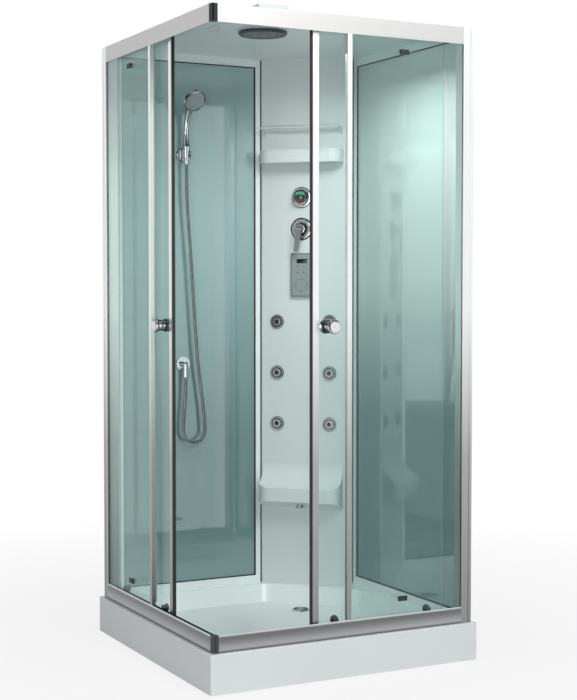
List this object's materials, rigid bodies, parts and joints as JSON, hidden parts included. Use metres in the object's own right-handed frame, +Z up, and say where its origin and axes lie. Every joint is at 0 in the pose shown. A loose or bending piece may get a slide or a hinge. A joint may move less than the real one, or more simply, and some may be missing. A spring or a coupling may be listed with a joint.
{
  "type": "corner steam shower cabin",
  "caption": "Square corner-entry steam shower cabin with sliding glass doors, a low tray, a corner column with fittings, and a hand shower on a hose.",
  "frame": {"origin": "on the floor under the middle of the tray, at the underside of the central levelling foot", "axes": "+Z up; the front glazed side faces -Y, the other glazed side faces -X, and the column stands across the corner at +X +Y"},
  "size_m": [1.011, 1.011, 2.22],
  "materials": {
    "white_acrylic": "gloss white",
    "galvanised_steel": "galvanised",
    "grey_plastic": "moulded",
    "chrome": "polished chrome",
    "satin_aluminium": "satin anodised",
    "clear_glass": "clear toughened glass",
    "teal_glass": "back-painted glass",
    "black_rubber": "soft seal",
    "roller_plastic": "moulded",
    "dark_grille": "fine perforated plate",
    "nozzle_plastic": "satin grey",
    "diverter_chrome": "polished chrome with a dark dome",
    "panel_grey": "membrane",
    "hose_steel": "ribbed metal hose",
    "copper_pipe": "plain copper",
    "tank_steel": "brushed casing"
  },
  "bodies": {
    "cabin": {"tray": "white_acrylic", "column": "white_acrylic", "roof": "white_acrylic", "overhead_housing": "white_acrylic", "tray_frame": "galvanised_steel", "levelling_feet": "galvanised_steel", "waste_trap": "grey_plastic", "valve_bodies": "grey_plastic", "corner_caps": "chrome", "towel_rail": "chrome", "jet_bodies": "chrome", "valve_rings": "chrome", "handset_holder": "chrome", "wall_outlet": "chrome", "bottom_rails": "satin_aluminium", "top_rails": "satin_aluminium", "front_post": "satin_aluminium", "side_post": "satin_aluminium", "pane_profiles": "satin_aluminium", "wall_frame_back": "satin_aluminium", "wall_frame_right": "satin_aluminium", "fixed_glass_front": "clear_glass", "fixed_glass_side": "clear_glass", "wall_glass": "teal_glass", "pane_seals": "black_rubber", "rain_head": "dark_grille", "control_panel": "panel_grey", "shower_hose": "hose_steel", "pipework": "copper_pipe", "steam_generator": "tank_steel"},
    "front_door": {"front_door_glass": "clear_glass", "front_door_profile": "satin_aluminium", "front_door_seal": "black_rubber", "front_door_knob": "chrome", "front_roller_brackets": "roller_plastic"},
    "front_top_roller_lead_wheel": {"front_top_roller_lead": "roller_plastic"},
    "front_top_roller_rear_wheel": {"front_top_roller_rear": "roller_plastic"},
    "front_bottom_roller_lead_wheel": {"front_bottom_roller_lead": "roller_plastic"},
    "front_bottom_roller_rear_wheel": {"front_bottom_roller_rear": "roller_plastic"},
    "side_door": {"side_door_glass": "clear_glass", "side_door_profile": "satin_aluminium", "side_door_seal": "black_rubber", "side_door_knob": "chrome", "side_roller_brackets": "roller_plastic"},
    "side_top_roller_lead_wheel": {"side_top_roller_lead": "roller_plastic"},
    "side_top_roller_rear_wheel": {"side_top_roller_rear": "roller_plastic"},
    "side_bottom_roller_lead_wheel": {"side_bottom_roller_lead": "roller_plastic"},
    "side_bottom_roller_rear_wheel": {"side_bottom_roller_rear": "roller_plastic"},
    "drain_cover": {"drain_cover": "chrome"},
    "diverter_knob": {"diverter_knob": "diverter_chrome"},
    "mixer_hub": {"mixer_hub": "chrome"},
    "mixer_lever": {"mixer_lever": "chrome"},
    "handset": {"handset": "chrome"},
    "jet_nozzle_1": {"jet_nozzle_1": "nozzle_plastic"},
    "jet_nozzle_2": {"jet_nozzle_2": "nozzle_plastic"},
    "jet_nozzle_3": {"jet_nozzle_3": "nozzle_plastic"},
    "jet_nozzle_4": {"jet_nozzle_4": "nozzle_plastic"},
    "jet_nozzle_5": {"jet_nozzle_5": "nozzle_plastic"},
    "jet_nozzle_6": {"jet_nozzle_6": "nozzle_plastic"}
  },
  "joints": [
    {"name": "front_door_slide", "type": "slide", "parent": "cabin", "child": "front_door", "axis": [1, 0, 0], "range_m": [-0.326, 0.03]},
    {"name": "front_top_roller_lead_spin", "type": "hinge", "parent": "front_door", "child": "front_top_roller_lead_wheel", "pos_m": [-0.034, -0.452, 2.1293], "axis": [0, 1, 0], "range_deg": [-1560, 150]},
    {"name": "front_top_roller_rear_spin", "type": "hinge", "parent": "front_door", "child": "front_top_roller_rear_wheel", "pos_m": [0.324, -0.452, 2.1293], "axis": [0, 1, 0], "range_deg": [-1560, 150]},
    {"name": "front_bottom_roller_lead_spin", "type": "hinge", "parent": "front_door", "child": "front_bottom_roller_lead_wheel", "pos_m": [-0.034, -0.452, 0.1883], "axis": [0, 1, 0], "range_deg": [-1560, 150]},
    {"name": "front_bottom_roller_rear_spin", "type": "hinge", "parent": "front_door", "child": "front_bottom_roller_rear_wheel", "pos_m": [0.324, -0.452, 0.1883], "axis": [0, 1, 0], "range_deg": [-1560, 150]},
    {"name": "side_door_slide", "type": "slide", "parent": "cabin", "child": "side_door", "axis": [0, 1, 0], "range_m": [-0.326, 0.03]},
    {"name": "side_top_roller_lead_spin", "type": "hinge", "parent": "side_door", "child": "side_top_roller_lead_wheel", "pos_m": [-0.452, -0.034, 2.1293], "axis": [-1, 0, 0], "range_deg": [-1560, 150]},
    {"name": "side_top_roller_rear_spin", "type": "hinge", "parent": "side_door", "child": "side_top_roller_rear_wheel", "pos_m": [-0.452, 0.324, 2.1293], "axis": [-1, 0, 0], "range_deg": [-1560, 150]},
    {"name": "side_bottom_roller_lead_spin", "type": "hinge", "parent": "side_door", "child": "side_bottom_roller_lead_wheel", "pos_m": [-0.452, -0.034, 0.1883], "axis": [-1, 0, 0], "range_deg": [-1560, 150]},
    {"name": "side_bottom_roller_rear_spin", "type": "hinge", "parent": "side_door", "child": "side_bottom_roller_rear_wheel", "pos_m": [-0.452, 0.324, 0.1883], "axis": [-1, 0, 0], "range_deg": [-1560, 150]},
    {"name": "drain_cover_lift", "type": "slide", "parent": "cabin", "child": "drain_cover", "axis": [0, 0, 1], "range_m": [0, 0.06]},
    {"name": "diverter_turn", "type": "hinge", "parent": "cabin", "child": "diverter_knob", "pos_m": [0.25831, 0.33468, 1.621], "axis": [-0.7071, -0.7071, 0], "range_deg": [-90, 90]},
    {"name": "mixer_turn", "type": "hinge", "parent": "cabin", "child": "mixer_hub", "pos_m": [0.25831, 0.33468, 1.501], "axis": [-0.7071, -0.7071, 0], "range_deg": [-50, 50]},
    {"name": "mixer_lift", "type": "hinge", "parent": "mixer_hub", "child": "mixer_lever", "pos_m": [0.24304, 0.3194, 1.501], "axis": [-0.7002, 0.7002, 0.1392], "range_deg": [0, 25]},
    {"name": "handset_lift", "type": "slide", "parent": "cabin", "child": "handset", "axis": [0, 0, 1], "range_m": [0, 0.07]},
    {"name": "jet_nozzle_1_swivel", "type": "hinge", "parent": "cabin", "child": "jet_nozzle_1", "pos_m": [0.19821, 0.41458, 0.754], "axis": [0.7071, -0.7071, 0], "range_deg": [-12, 12]},
    {"name": "jet_nozzle_2_swivel", "type": "hinge", "parent": "cabin", "child": "jet_nozzle_2", "pos_m": [0.19821, 0.41458, 0.95], "axis": [0.7071, -0.7071, 0], "range_deg": [-12, 12]},
    {"name": "jet_nozzle_3_swivel", "type": "hinge", "parent": "cabin", "child": "jet_nozzle_3", "pos_m": [0.19821, 0.41458, 1.146], "axis": [0.7071, -0.7071, 0], "range_deg": [-12, 12]},
    {"name": "jet_nozzle_4_swivel", "type": "hinge", "parent": "cabin", "child": "jet_nozzle_4", "pos_m": [0.3467, 0.26609, 0.754], "axis": [0.7071, -0.7071, 0], "range_deg": [-12, 12]},
    {"name": "jet_nozzle_5_swivel", "type": "hinge", "parent": "cabin", "child": "jet_nozzle_5", "pos_m": [0.3467, 0.26609, 0.95], "axis": [0.7071, -0.7071, 0], "range_deg": [-12, 12]},
    {"name": "jet_nozzle_6_swivel", "type": "hinge", "parent": "cabin", "child": "jet_nozzle_6", "pos_m": [0.3467, 0.26609, 1.146], "axis": [0.7071, -0.7071, 0], "range_deg": [-12, 12]}
  ],
  "couplings": [
    {"joint": "front_top_roller_lead_spin", "follows": "front_door_slide", "rad_per_m": 83.333},
    {"joint": "front_top_roller_rear_spin", "follows": "front_door_slide", "rad_per_m": 83.333},
    {"joint": "front_bottom_roller_lead_spin", "follows": "front_door_slide", "rad_per_m": 83.333},
    {"joint": "front_bottom_roller_rear_spin", "follows": "front_door_slide", "rad_per_m": 83.333},
    {"joint": "side_top_roller_lead_spin", "follows": "side_door_slide", "rad_per_m": 83.333},
    {"joint": "side_top_roller_rear_spin", "follows": "side_door_slide", "rad_per_m": 83.333},
    {"joint": "side_bottom_roller_lead_spin", "follows": "side_door_slide", "rad_per_m": 83.333},
    {"joint": "side_bottom_roller_rear_spin", "follows": "side_door_slide", "rad_per_m": 83.333}
  ]
}
